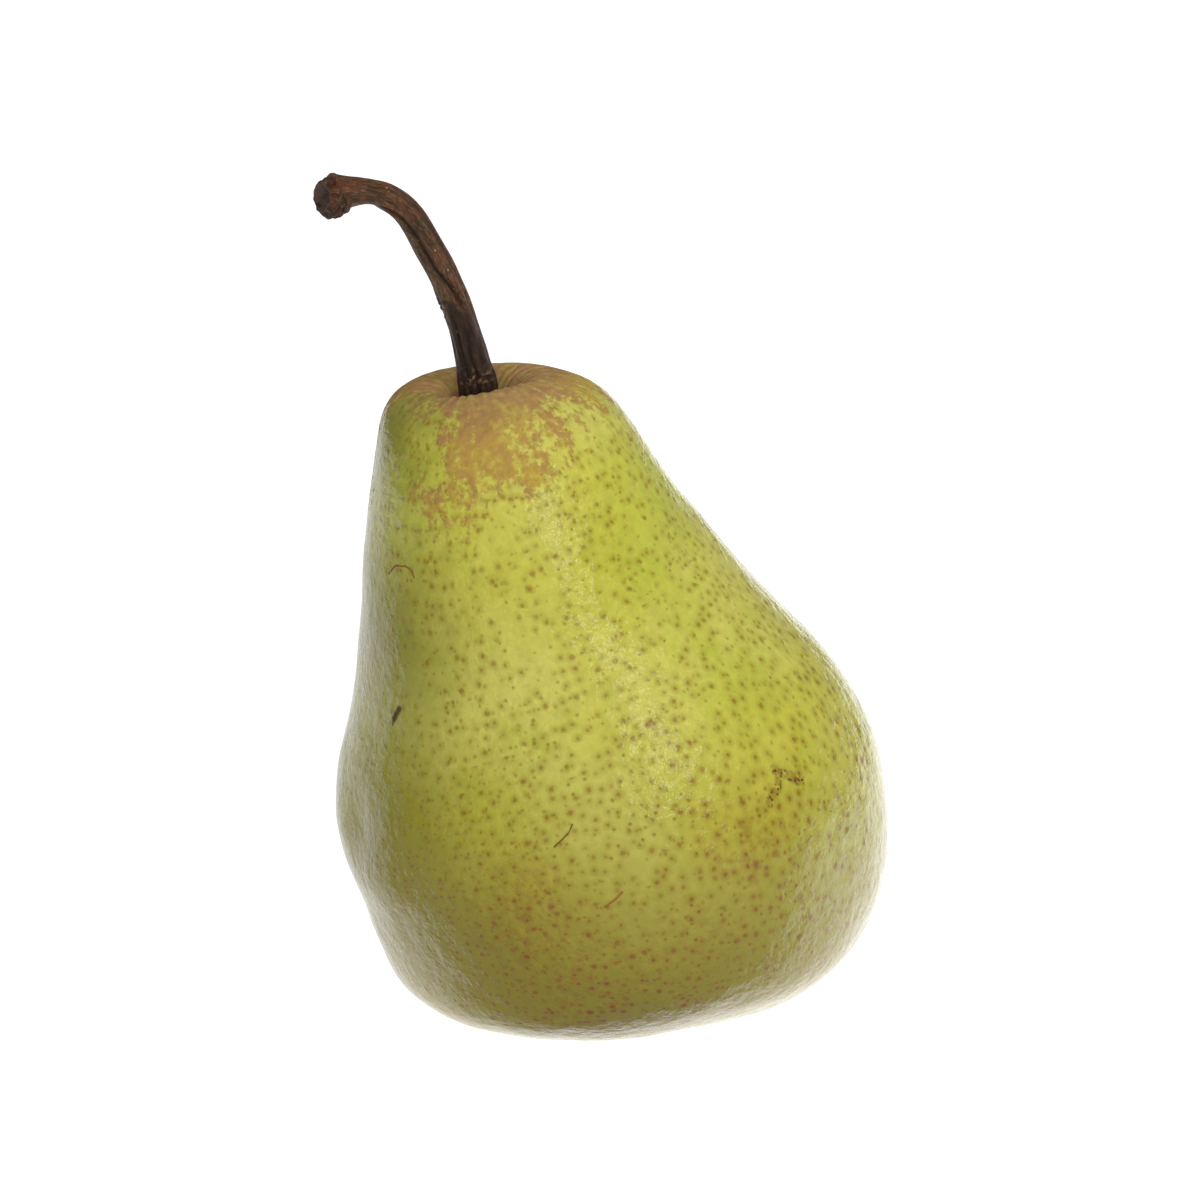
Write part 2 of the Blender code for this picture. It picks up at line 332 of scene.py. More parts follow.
class Nodes:
    """Adds nodes to the tree of a material or a world; sockets or plain values go in, sockets come out."""

    def __init__(self, owner, shader="Principled BSDF"):
        self.owner = owner
        self.owner.use_nodes = True
        self.tree = self.owner.node_tree
        self.shader = self.tree.nodes[shader]

    def feed(self, socket, value):
        if isinstance(value, bpy.types.NodeSocket):
            self.tree.links.new(value, socket)
        elif isinstance(value, (tuple, list)) and len(value) == 3 and socket.type == "RGBA":
            socket.default_value = (*value, 1.0)
        else:
            socket.default_value = value

    def add(self, kind, inputs=(), **settings):
        node = self.tree.nodes.new(kind)
        for name, value in settings.items():
            setattr(node, name, value)
        for name, value in dict(inputs).items():
            self.feed(node.inputs[name], value)
        return node

    def maths(self, operation, a, b):
        return self.add("ShaderNodeMath", {0: a, 1: b}, operation=operation).outputs[0]

    def times(self, a, b):
        return self.maths("MULTIPLY", a, b)

    def plus(self, a, b):
        return self.maths("ADD", a, b)

    def most(self, values):
        return functools.reduce(lambda a, b: self.maths("MAXIMUM", a, b), values)

    def vector(self, operation, a, b=(0.0, 0.0, 0.0)):
        node = self.add("ShaderNodeVectorMath", {0: a, 1: b}, operation=operation)
        return node.outputs["Value" if operation in ("LENGTH", "DISTANCE", "DOT_PRODUCT") else "Vector"]

    def ramp(self, value, low, high, to_low=0.0, to_high=1.0):
        """Eased from to_low where value is low to to_high where it is high."""
        inputs = {"Value": value, "From Min": low, "From Max": high, "To Min": to_low, "To Max": to_high}
        return self.add("ShaderNodeMapRange", inputs, interpolation_type="SMOOTHSTEP").outputs["Result"]

    def mix(self, share, a, b):
        """Colour a, or b where the share is 1."""
        node = self.add("ShaderNodeMix", data_type="RGBA")
        factor, first, second, result = 0, 6, 7, 2  # the mix node's sockets for colours
        self.feed(node.inputs[factor], share)
        self.feed(node.inputs[first], a)
        self.feed(node.inputs[second], b)
        return node.outputs[result]

    def waves(self, where, scale, detail, rough=0.5):
        inputs = {"Vector": where, "Scale": scale, "Detail": detail, "Roughness": rough}
        return self.add("ShaderNodeTexNoise", inputs).outputs

    def noise(self, where, length, detail, rough=0.5, stretch=None):
        """Noise from 0 to 1 whose waves are this long, in millimetres."""
        if stretch:
            where = self.vector("MULTIPLY", where, stretch)
        return self.waves(where, 1.0 / (length * MM), detail, rough)["Fac"]

    def place(self):
        return self.add("ShaderNodeTexCoord").outputs["Object"]

    def map(self, name):
        return self.add("ShaderNodeUVMap", uv_map=name).outputs["UV"]

    def painted(self, name):
        return self.add("ShaderNodeAttribute", attribute_name=name).outputs["Fac"]

    def parts(self, vector):
        return self.add("ShaderNodeSeparateXYZ", {0: vector}).outputs

    def bump(self, heights):
        """Adds up (height from 0 to 1, millimetres it stands for) as bumps."""
        normal = None
        for height, size in heights:
            node = self.add("ShaderNodeBump", {"Height": height, "Distance": size * MM, "Strength": 1.0})
            if normal:
                self.feed(node.inputs["Normal"], normal)
            normal = node.outputs["Normal"]
        self.feed(self.shader.inputs["Normal"], normal)
        self.feed(self.shader.inputs["Coat Normal"], normal)

    def set(self, **values):
        for name, value in values.items():
            self.feed(self.shader.inputs[name.replace("_", " ")], value)


def srgb(red, green, blue):
    """A colour as seen on a screen, 0 to 255, as the shader wants it."""
    rows = [c / 255.0 for c in (red, green, blue)]
    return tuple(c / 12.92 if c <= 0.04045 else ((c + 0.055) / 1.055) ** 2.4 for c in rows)


# ---------------- skin

YELLOW_GREEN = srgb(204, 198, 74)
PALE_GREEN = srgb(211, 205, 98)
FRESH_GREEN = srgb(180, 190, 52)
OLIVE = srgb(132, 130, 32)
OCHRE = srgb(186, 156, 54)
# Brown of the lower fruit, darkened as painted shade as well.
BROWN_AND_SHADE = srgb(146, 132, 34)
HALO = srgb(152, 138, 40)
RED_HALO = srgb(154, 122, 38)
FRECKLE = srgb(142, 98, 30)
RED_FRECKLE = srgb(136, 86, 32)
RUSSET = srgb(168, 124, 74)
RUSSET_GOLD = srgb(184, 150, 64)
# Dark russet, lifted towards greyish pink as painted sheen; also the colour of the russet's flecks.
RUSSET_DARK_AND_SHEEN = srgb(154, 110, 84)
SCAR = srgb(92, 54, 26)
NICK = srgb(74, 48, 22)
SCRATCH = srgb(122, 70, 34)
RED_SPOT = srgb(140, 82, 46)

# Noises that the skin's colours and bumps share: length of the waves, detail and roughness.
SKIN_NOISES = {
    "broad": (24.0, 2.0, 0.5),
    "middle": (7.0, 4.0, 0.62),
    "peel": (2.0, 3.0, 0.55),
    "fine": (0.9, 3.0, 0.6),
    "grain": (0.3, 2.0, 0.5),
    "blotch": (1.6, 4.0, 0.7),
}
SHIFT_LENGTH = 4.0  # waves of the noise that moves places about
PATCH_SHIFT = 8.0  # how far it moves the edges of patches, marks and red spots
MARK_SHIFT = 0.6
RED_SPOT_SHIFT = 2.0

# Soft patches of colour: azimuth, height, reach, colour, strength.
PATCHES = (
    (216.0, 62.0, 20.0, OLIVE, 0.85),
    (214.0, 42.0, 20.0, OLIVE, 0.75),
    (218.0, 22.0, 20.0, OLIVE, 0.7),
    (226.0, 78.0, 11.0, FRESH_GREEN, 0.6),
    (206.0, 83.0, 12.0, OLIVE, 0.8),
    (338.0, 72.0, 14.0, FRESH_GREEN, 0.5),
    (314.0, 62.0, 11.0, FRESH_GREEN, 0.5),
    (320.0, 44.0, 12.0, FRESH_GREEN, 0.5),
    (322.0, 22.0, 16.0, FRESH_GREEN, 0.35),
    (250.0, 24.0, 14.0, OCHRE, 0.5),
    (304.0, 27.0, 12.0, OCHRE, 0.3),
    (90.0, 50.0, 30.0, FRESH_GREEN, 0.35),
    (60.0, 20.0, 22.0, OLIVE, 0.5),
    (130.0, 30.0, 20.0, OCHRE, 0.35),
)
# The fruit is painted browner and darker below the first height, most below the second: partly its own
# browner colour, partly painted shade of its underside.
BROWN_AND_SHADE_BELOW = (50.0, 10.0)
BROWN_AND_SHADE_SHARE = 0.92
# Pale bands around the neck: how many waves around, their length along, and where they start and end.
BANDS_AROUND = 7.0
BANDS_LENGTH = 1.3
BANDS_START = (0.76, 0.80)
BANDS_END = (0.84, 0.88)

# Places where reddish brown mottling is thick: azimuth, height, reach, strength.
MOTTLES = (
    (251.0, 24.0, 12.0, 0.9),
    (300.0, 28.0, 9.0, 0.85),
    (312.0, 27.0, 6.0, 0.6),
    (262.0, 12.0, 15.0, 0.7),
    (285.0, 18.0, 13.0, 0.5),
    (236.0, 29.0, 6.0, 0.4),
    (120.0, 24.0, 13.0, 0.7),
    (20.0, 14.0, 12.0, 0.5),
)
MOTTLE_SHARE = 0.62

# Freckles: places around for one, smallest and largest core, halo beyond it, and the share of places that
# hold one below, at the belly and on the neck.
FRECKLE_SIZES = (
    (128, 0.14, 0.30, 0.90, (1.0, 0.88, 0.55)),
    (185, 0.07, 0.16, 0.34, (0.55, 0.32, 0.16)),
)
FRECKLE_SCATTER = 0.88
FRECKLE_WOBBLE = 0.07
FRECKLE_SOFT = 0.14
FRECKLE_FAINTEST = 0.45
FRECKLE_GROWN_BELOW = 1.5
BELLY_GIRTH = ROUND * 35.0

# Marks: (azimuth, height) of their points, width, colour and strength.
STROKES = (
    (((222.3, 54.4), (219.8, 53.2)), 0.62, NICK, 0.9),
    (((220.5, 53.7), (219.0, 52.6)), 0.30, NICK, 0.7),
    (((219.5, 68.5), (223.5, 69.5), (228.5, 69.6), (232.0, 69.2), (233.0, 68.4)), 0.2, SCRATCH, 0.85),
    (((266.2, 37.2), (265.0, 36.3), (261.2, 35.1)), 0.17, SCAR, 0.9),
    (((268.3, 25.8), (270.5, 26.4), (272.3, 27.2)), 0.26, RED_SPOT, 0.85),
)
STROKE_CORE = 0.35  # this share of a mark's width is solid, and the rest fades
# Strings of dark beads: (azimuth, height) of their points and width.
CRUSTS = (
    (((313.3, 34.0), (318.8, 31.4)), 0.95),
    (((314.0, 33.6), (312.4, 32.2), (308.8, 31.2)), 0.85),
)
CRUST_BEAD = 0.50
# Red brown spots: azimuth, height, reach.
RED_SPOTS = (
    *((291.4, 44.5, 0.75), (292.8, 44.3, 0.7), (257.5, 27.0, 0.9), (250.0, 21.5, 0.7), (244.0, 25.0, 0.8)),
    *((262.0, 20.0, 0.6), (301.0, 25.8, 1.0), (306.3, 25.9, 0.9), (303.5, 25.0, 0.6), (299.0, 24.6, 0.7)),
    (310.0, 24.8, 0.6),
)

# Russet ends this far from the middle of the stalk's cavity, further down in the tongue and at the side, and
# nearer in the green gaps: azimuth, height, reach, and how much further or nearer.
RUSSET_REACH = 21.5
RUSSET_TONGUE = (247.0, 78.0, 6.0, 6.0)
RUSSET_SIDE = (60.0, 82.0, 14.0, 5.0)
RUSSET_GAPS = ((208.0, 83.0, 13.0, 14.0), (334.0, 80.5, 15.0, 9.0))
STREAKS_AROUND = 44.0
STREAKS_LENGTH = 7.0
EDGE_MOVES = (3.5, 4.0, 2.4, 3.2)  # how far the noises move its edge, in and out
EDGE_FADE = (-2.6, 3.4)
# Towards the cavity the russet turns to the dark russet with its painted sheen.
CAVITY_DARK_AND_SHEEN = (16.0, 8.0)  # it darkens between these distances from the middle of the cavity

SKIN_COAT = 0.9
SKIN_COAT_ROUGHNESS = 0.10


class SkinNodes(Nodes):
    """The skin's tree, with the places and noises that its colours share."""

    def __init__(self):
        super().__init__(bpy.data.materials.new("pear_skin_look"))
        self.where = self.place()
        self.girth = self.painted("girth")
        self.level = self.painted("level")
        for label, settings in SKIN_NOISES.items():
            setattr(self, label, self.noise(self.where, *settings))
        shift = self.waves(self.where, 1.0 / (SHIFT_LENGTH * MM), 3.0)["Color"]
        self.shift = self.vector("SUBTRACT", shift, (0.5, 0.5, 0.5))

    def shifted(self, size):
        """The place, moved about by up to half this many millimetres each way."""
        return self.vector("ADD", self.where, self.vector("MULTIPLY", self.shift, (size * MM,) * 3))

    def wound(self, around, length, detail, rough=0.5):
        """Noise with this many waves around the fruit, each this long from top to bottom."""
        net = self.vector("MULTIPLY", self.map("skin"), (around, SKIN_LENGTH / length, 0.0))
        return self.waves(net, 1.0, detail, rough)["Fac"]


def spot(n, where, azimuth, height, reach):
    """1 at a place on the skin, fading to 0 at its reach."""
    distance = n.vector("DISTANCE", where, tuple(on_skin(azimuth, height)))
    return n.ramp(distance, 0.0, reach * MM, 1.0, 0.0)


def stroke(n, where, line, width):
    """1 on a line of points on the skin, fading to 0 at its width; the line may have bends."""
    shares = []
    for start, end in zip(line, line[1:]):
        start, end = on_skin(*start), on_skin(*end)
        way = end - start
        from_start = n.vector("SUBTRACT", where, tuple(start))
        dot = n.vector("DOT_PRODUCT", from_start, tuple(way))
        along = n.times(dot, 1.0 / way.length_squared)
        along = n.maths("MINIMUM", n.maths("MAXIMUM", along, 0.0), 1.0)
        on_line = n.add("ShaderNodeVectorMath", {0: tuple(way), "Scale": along}, operation="SCALE").outputs[0]
        distance = n.vector("DISTANCE", from_start, on_line)
        shares.append(n.ramp(distance, STROKE_CORE * width * MM, width * MM, 1.0, 0.0))
    return n.most(shares)


def ground_colour(n):
    """Yellow green with soft patches, browner and darker below, partly as painted shade, and banded on the
    neck.
    """
    ragged = n.shifted(PATCH_SHIFT)
    colour = n.mix(n.ramp(n.broad, 0.35, 0.65), YELLOW_GREEN, PALE_GREEN)
    colour = n.mix(n.ramp(n.middle, 0.50, 0.75, 0.0, 0.5), colour, FRESH_GREEN)
    for azimuth, height, reach, tint, strength in PATCHES:
        share = n.times(spot(n, ragged, azimuth, height, reach), strength)
        colour = n.mix(share, colour, tint)
    # Browner and darker towards the bottom: partly the skin's colour, partly painted shade.
    start, full = BROWN_AND_SHADE_BELOW
    share = n.ramp(n.parts(n.where)[2], start * MM, full * MM, 0.0, BROWN_AND_SHADE_SHARE)
    colour = n.mix(share, colour, BROWN_AND_SHADE)
    colour = n.mix(n.ramp(n.peel, 0.35, 0.72, 0.0, 0.16), colour, OLIVE)
    colour = n.mix(n.ramp(n.fine, 0.30, 0.70, 0.0, 0.14), colour, OLIVE)
    bands = n.wound(BANDS_AROUND, BANDS_LENGTH, 2.0)
    on_neck = n.times(n.ramp(n.level, *BANDS_START), n.ramp(n.level, *BANDS_END, 1.0, 0.0))
    return n.mix(n.times(n.ramp(bands, 0.52, 0.70, 0.0, 0.3), on_neck), colour, PALE_GREEN)


def mottle_share(n):
    """How thick the mottling is, from 0 to 1."""
    ragged = n.shifted(PATCH_SHIFT)
    return n.most([n.times(spot(n, ragged, *mottle[:3]), mottle[3]) for mottle in MOTTLES])


def freckles(n, around, small, large, halo, shares):
    """Cores, halos and a random value of round dots, one to a place of a net wrapped around the fruit."""
    rows = round(around * SKIN_LENGTH / BELLY_GIRTH)
    net = n.vector("MULTIPLY", n.map("skin"), (float(around), float(rows), 0.0))
    inputs = {"Vector": net, "Scale": 1.0, "Randomness": FRECKLE_SCATTER}
    cells = n.add("ShaderNodeTexVoronoi", inputs, voronoi_dimensions="2D")
    away = n.parts(n.vector("SUBTRACT", net, cells.outputs["Position"]))
    wide = n.times(away[0], n.times(n.girth, 1.0 / around))
    tall = n.times(away[1], SKIN_LENGTH / rows)
    offset = n.add("ShaderNodeCombineXYZ", {0: wide, 1: tall}).outputs[0]
    wobble = n.ramp(n.noise(n.where, 0.5, 1.0), 0.3, 0.7, -FRECKLE_WOBBLE, FRECKLE_WOBBLE)
    distance = n.plus(n.vector("LENGTH", offset), wobble)
    chance = n.parts(cells.outputs["Color"])
    low, belly, neck = shares
    to_belly = n.ramp(n.level, 0.22, 0.50, low, belly)
    share = n.plus(to_belly, n.ramp(n.level, 0.5, 0.68, 0.0, neck - belly))
    share = n.times(share, n.ramp(n.girth, 10.0, 150.0, 0.5, 1.0))
    strength = n.ramp(chance[2], 0.0, 1.0, FRECKLE_FAINTEST, 1.0)
    kept = n.times(n.maths("LESS_THAN", chance[1], share), strength)
    size = n.ramp(chance[0], 0.0, 1.0, small, large)
    size = n.times(size, n.ramp(n.level, 0.20, 0.48, FRECKLE_GROWN_BELOW, 1.0))
    past = n.maths("SUBTRACT", distance, size)
    core = n.times(n.ramp(past, -FRECKLE_SOFT, FRECKLE_SOFT, 1.0, 0.0), kept)
    reach = n.times(n.ramp(past, -0.1, halo, 1.0, 0.0), kept)
    return core, reach, chance[2]


def freckled(n, colour, mottle):
    """The colour with its freckles, redder in the mottling and stronger below, and the largest cores."""
    cores = []
    for freckle_size in FRECKLE_SIZES:
        core, reach, chance = freckles(n, *freckle_size)
        redness = n.ramp(n.plus(n.maths("SUBTRACT", chance, n.level), mottle), 0.25, 1.6)
        halo_share = n.times(reach, n.ramp(n.level, 0.3, 0.62, 0.86, 0.5))
        colour = n.mix(halo_share, colour, n.mix(redness, HALO, RED_HALO))
        core_share = n.times(core, n.ramp(n.level, 0.3, 0.62, 0.98, 0.6))
        colour = n.mix(core_share, colour, n.mix(redness, FRECKLE, RED_FRECKLE))
        cores.append(core)
    return colour, cores[0]


def russeted(n, colour):
    """The colour with the russet around the stalk, and the russet's share."""
    ragged = n.shifted(PATCH_SHIFT)
    streaks = n.wound(STREAKS_AROUND, STREAKS_LENGTH, 4.0, 0.6)
    from_cavity = n.times(n.maths("SUBTRACT", 1.0, n.level), SKIN_LENGTH)
    edge = n.maths("SUBTRACT", RUSSET_REACH, from_cavity)
    movers = ((n.middle, 0.25, 0.75), (streaks, 0.3, 0.7), (n.blotch, 0.3, 0.7), (n.fine, 0.3, 0.7))
    for mover, move in zip(movers, EDGE_MOVES):
        edge = n.plus(edge, n.ramp(*mover, -move, move))
    for azimuth, height, reach, push in (RUSSET_TONGUE, RUSSET_SIDE):
        edge = n.plus(edge, n.times(spot(n, n.where, azimuth, height, reach), push))
    for azimuth, height, reach, push in RUSSET_GAPS:
        edge = n.maths("SUBTRACT", edge, n.times(spot(n, ragged, azimuth, height, reach), push))
    russet = n.ramp(edge, *EDGE_FADE)
    tan = n.mix(n.ramp(n.middle, 0.35, 0.65), RUSSET, RUSSET_GOLD)
    flecks = n.plus(n.fine, n.ramp(streaks, 0.3, 0.7, -0.1, 0.1))
    tan = n.mix(n.ramp(flecks, 0.4, 0.75, 0.0, 0.4), tan, RUSSET_DARK_AND_SHEEN)
    # Near the cavity: partly darker russet, partly painted sheen.
    tan = n.mix(n.ramp(from_cavity, *CAVITY_DARK_AND_SHEEN, 0.0, 0.8), tan, RUSSET_DARK_AND_SHEEN)
    cover = n.ramp(n.plus(streaks, n.fine), 0.7, 1.2, 0.62, 0.92)
    return n.mix(n.times(russet, cover), colour, tan), russet


def marked(n, colour, dull):
    """The colour with its nicks, scratches, crusts and red spots, and where the skin has no gloss."""
    shaky = n.shifted(MARK_SHIFT)
    for line, width, tint, strength in STROKES:
        share = stroke(n, shaky, line, width)
        colour = n.mix(n.times(share, strength), colour, tint)
        dull = n.maths("MAXIMUM", dull, share)
    inputs = {"Vector": n.where, "Scale": 1.0 / (CRUST_BEAD * MM)}
    beads = n.ramp(n.add("ShaderNodeTexVoronoi", inputs).outputs["Distance"], 0.30, 0.48, 1.0, 0.0)
    crust = n.most([stroke(n, shaky, *one) for one in CRUSTS])
    crust = n.times(crust, n.ramp(n.noise(n.where, 0.9, 2.0), 0.36, 0.50))
    colour = n.mix(n.times(crust, 0.4), colour, SCRATCH)
    colour = n.mix(n.times(n.times(crust, beads), 0.95), colour, SCAR)
    blurred = n.shifted(RED_SPOT_SHIFT)
    for red_spot in RED_SPOTS:
        colour = n.mix(n.times(spot(n, blurred, *red_spot), 0.85), colour, RED_SPOT)
    return colour, dull


def skin_material():
    n = SkinNodes()
    mottle = mottle_share(n)
    mottled = n.times(n.times(mottle, n.ramp(n.blotch, 0.46, 0.64)), MOTTLE_SHARE)
    colour = n.mix(mottled, ground_colour(n), RED_FRECKLE)
    colour, dots = freckled(n, colour, mottle)
    colour, russet = russeted(n, colour)
    colour, dull = marked(n, colour, russet)
    rough = n.plus(n.ramp(n.grain, 0.3, 0.7, 0.44, 0.56), n.times(russet, 0.26))
    n.set(Base_Color=colour, Roughness=rough, Coat_Weight=n.ramp(dull, 0.0, 1.0, SKIN_COAT, 0.0))
    n.set(Coat_Roughness=SKIN_COAT_ROUGHNESS, IOR=1.45, Specular_IOR_Level=0.5)
    n.set(Subsurface_Weight=0.06, Subsurface_Radius=(1.0, 0.7, 0.2), Subsurface_Scale=0.0015)
    russet_grain = n.times(russet, n.blotch)
    n.bump([(n.middle, 0.18), (n.peel, 0.32), (n.fine, 0.10), (russet_grain, 0.08), (dots, 0.015)])
    return n.owner


# ---------------- pieces


def piece_from_grid(name, grid, poles, material, painted=None):
    """A mesh through a (rows, turns, 3) grid that is closed around and runs into a pole at each end."""
    rows, turns = grid.shape[:2]
    points = [tuple(p) for p in grid.reshape(-1, 3)]
    faces = []
    corners = []
    for row in range(rows - 1):
        for turn in range(turns):
            after = (turn + 1) % turns
            low, high = row * turns, (row + 1) * turns
            faces.append((low + turn, low + after, high + after, high + turn))
            low, high = row / (rows - 1), (row + 1) / (rows - 1)
            left, right = turn / turns, (turn + 1) / turns
            corners += [(left, low), (right, low), (right, high), (left, high)]
    for end, row in zip(poles, (0, rows - 1)):
        pole = len(points)
        points.append(tuple(end))
        level = row / (rows - 1)
        for turn in range(turns):
            after = (turn + 1) % turns
            ring = (row * turns + turn, row * turns + after)
            faces.append((ring[1], ring[0], pole) if row == 0 else (ring[0], ring[1], pole))
            left, right = turn / turns, (turn + 1) / turns
            sides = [(right, level), (left, level)] if row == 0 else [(left, level), (right, level)]
            corners += [*sides, ((left + right) / 2.0, level)]
    mesh = bpy.data.meshes.new(name)
    mesh.from_pydata(points, [], faces)
    for layer in ("skin", "OFBake"):
        uv = mesh.uv_layers.new(name=layer)
        uv.data.foreach_set("uv", np.array(corners, np.float32).ravel())
    for label, values in (painted or {}).items():
        held = mesh.attributes.new(label, "FLOAT", "POINT")
        flat = np.zeros(len(points), np.float32)
        flat[: values.size] = values.ravel()
        held.data.foreach_set("value", flat)
    mesh.shade_smooth()
    mesh.materials.append(material)
    obj = bpy.data.objects.new(name, mesh)
    bpy.context.scene.collection.objects.link(obj)
    return obj


def make_skin():
    level = np.repeat(np.linspace(0.0, 1.0, RINGS + 1)[:, None], TURNS, axis=1)
    body = piece_from_grid(
        "pear_skin",
        LUMPY[1:-1],
        (LUMPY[0].mean(axis=0), LUMPY[-1].mean(axis=0)),
        skin_material(),
        {"girth": ROUND * RADIUS[1:-1], "level": level[1:-1]},
    )
    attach(body, "root")
    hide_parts("pear_body")


# ---------------- stalk

# The way its middle runs from its foot, and its radius there, as in the part but for the sixth point.
STALK_FOOT_HEIGHT = 82.8
STALK_LINE = (
    ((0.0, 0.0, 0.0), 1.9),
    ((0.0, -0.1, 1.6), 2.3),
    ((-0.3, -0.2, 4.4), 2.3),
    ((-1.7, -0.5, 10.5), 1.9),
    ((-3.8, -0.9, 16.6), 1.85),
    ((-6.7, -1.3, 22.5), 1.85),
    ((-9.1, -1.6, 26.4), 1.75),
    ((-11.4, -1.8, 28.3), 1.7),
    ((-13.6, -2.0, 29.1), 1.5),
    ((-16.0, -2.2, 29.3), 1.7),
    ((-17.8, -2.3, 28.9), 2.5),
    ((-19.2, -2.4, 28.6), 2.8),
    ((-20.2, -2.4, 28.6), 2.4),
)
STALK_RINGS = 460
STALK_TURNS = 96
SCAR_RINGS = 26
SCAR_TURNED = 0.55
SCAR_RAISED = 0.15
SCAR_BACK = 0.9

# Angles around the stalk are degrees from the back; 90 is the inside of its bend, 180 faces the camera and
# 270 is the outside. Ridges: how many, how deep as a share of the radius, start angle and twist.
RIDGES = (
    (3, 0.055, 70.0, 85.0),
    (5, 0.040, -45.0, 170.0),
    (8, 0.022, 115.0, -120.0),
    (13, 0.012, 20.0, 200.0),
)
# Furrows: (place along from 0 to 1, angle) of their points, depth and half width in millimetres.
FURROWS = (
    (((0.80, 128.0), (0.70, 150.0), (0.60, 158.0), (0.50, 170.0), (0.42, 195.0), (0.34, 206.0)), 0.34, 0.34),
    (((0.76, 100.0), (0.66, 118.0), (0.56, 122.0), (0.48, 116.0)), 0.20, 0.24),
    (((0.86, 215.0), (0.74, 232.0), (0.62, 236.0), (0.50, 250.0), (0.30, 246.0)), 0.12, 0.30),
    (((0.34, 150.0), (0.24, 142.0), (0.12, 150.0), (0.06, 152.0)), 0.22, 0.30),
    (((0.30, 186.0), (0.20, 178.0), (0.10, 186.0), (0.05, 180.0)), 0.22, 0.26),
    (((0.26, 224.0), (0.18, 214.0), (0.08, 222.0), (0.04, 220.0)), 0.18, 0.26),
    (((0.90, 20.0), (0.70, 10.0), (0.45, -12.0), (0.20, 8.0)), 0.22, 0.34),
    (((0.72, 320.0), (0.50, 310.0), (0.26, 318.0)), 0.16, 0.30),
)
# Parts that differ: place along and spread, angle and spread, and how far they stand out.
KNOB_LOBE = (0.90, 0.05, 88.0, 52.0, 0.55)
SCAR_DENT = (0.985, 0.03, 270.0, 60.0, -0.35)
FLAKES = (0.37, 0.055, 92.0, 34.0, 0.17)
FOOT_BITS = (0.125, 0.025, 180.0, 80.0, 0.18)
UNDERSIDE = (0.83, 0.05, 95.0, 30.0, 0.16)
ORANGE_SPOTS = ((0.965, 0.022, 238.0, 26.0, 1.0), (0.93, 0.03, 205.0, 16.0, 0.5))
FIBRE_DEPTH = 0.12
FOOT_PLEATS = 15
FOOT_PLEAT_DEPTH = 0.10
FOOT_SPREAD = 0.16
BARK_NOISES = ((0.9, 23), (2.0, 24), (0.5, 25))  # length and seed of the noises that roughen it
KNOB_ROUGHNESS = (0.36, 0.26, 0.12)
WANDER = 9.0  # how many degrees the furrows wander
BARK_RED = srgb(112, 68, 40)
BARK_BROWN = srgb(86, 60, 38)
BARK_OLIVE = srgb(96, 76, 44)
BARK_DARK = srgb(56, 42, 34)
BARK_CHAR = srgb(50, 37, 31)
# Near black, painted as shade in the stalk's creases and dips.
BARK_SHADE_BLACK = srgb(26, 18, 16)
BARK_LIGHT = srgb(176, 138, 100)
BARK_ORANGE = srgb(164, 92, 52)
BARK_GREY = srgb(96, 78, 68)


def eased(value, low, high):
    """0 below low, 1 above high and smooth between."""
    share = np.clip((value - low) / (high - low), 0.0, 1.0)
    return share * share * (3.0 - 2.0 * share)


def bell(value, centre, spread):
    return np.exp(-(((value - centre) / spread) ** 2))


def around_bell(turn, centre, spread):
    """As bell, for angles in degrees."""
    return np.exp(-((turned(turn, centre) / spread) ** 2))


def region(along, turn, place):
    """1 at one of the parts above, fading away from it."""
    return bell(along, *place[:2]) * around_bell(turn, *place[2:4])


def stalk_rings():
    """Middle, radius and direction of each ring, how far it is along, and how far into the scar."""
    line = smooth_through([(*place, radius) for place, radius in STALK_LINE], OUTLINE_STEPS)
    reach = lengths_along(line[:, :3])
    along = np.linspace(0.0, 1.0, STALK_RINGS)
    rows = spaced_by(line, reach, along * reach[-1])
    middle, radius = rows[:, :3], rows[:, 3]
    way = np.gradient(middle, axis=0)
    way /= np.linalg.norm(way, axis=1)[:, None]
    into_end = 1.0 - np.linspace(1.0, 0.0, SCAR_RINGS + 1)[1:]
    face = 0.35 * eased(into_end, 0.0, 0.18)
    face -= 0.75 * eased(into_end, 0.18, 0.6)
    face += 0.3 * eased(into_end, 0.7, 1.0)
    middle = np.concatenate([middle, middle[-1] + way[-1] * face[:, None]])
    radius = np.concatenate([radius, radius[-1] * (1.0 - into_end)])
    way = np.concatenate([way, np.repeat(way[-1:], SCAR_RINGS, axis=0)])
    in_scar = np.concatenate([np.zeros(STALK_RINGS), into_end])
    along = np.concatenate([along, np.ones(SCAR_RINGS)])
    return middle, radius, way, along, in_scar, reach[-1]


def furrowed(along, turn, radius):
    """How far the furrows and the folds beside them move the bark, and how deep in a furrow a place is, for
    the shade painted in it.
    """
    push = np.zeros_like(along)
    crevice_shade = np.zeros_like(along)
    for points, depth, half_width in FURROWS:
        places = sorted(points)
        centre = np.interp(along, [p[0] for p in places], [p[1] for p in places])
        first, last = places[0][0], places[-1][0]
        starts = eased(along, first - 0.02, first + 0.04)
        ends = eased(along, last - 0.04, last + 0.02)
        present = starts * (1.0 - ends)
        spread = np.degrees(half_width / np.maximum(radius, 1.4))
        cut = around_bell(turn, centre, spread) * present
        fold = around_bell(turn, centre + 2.1 * spread, spread) * present
        push += depth * (0.35 * fold - cut)
        crevice_shade = np.maximum(crevice_shade, cut * min(depth / 0.3, 1.0))
    return push, crevice_shade


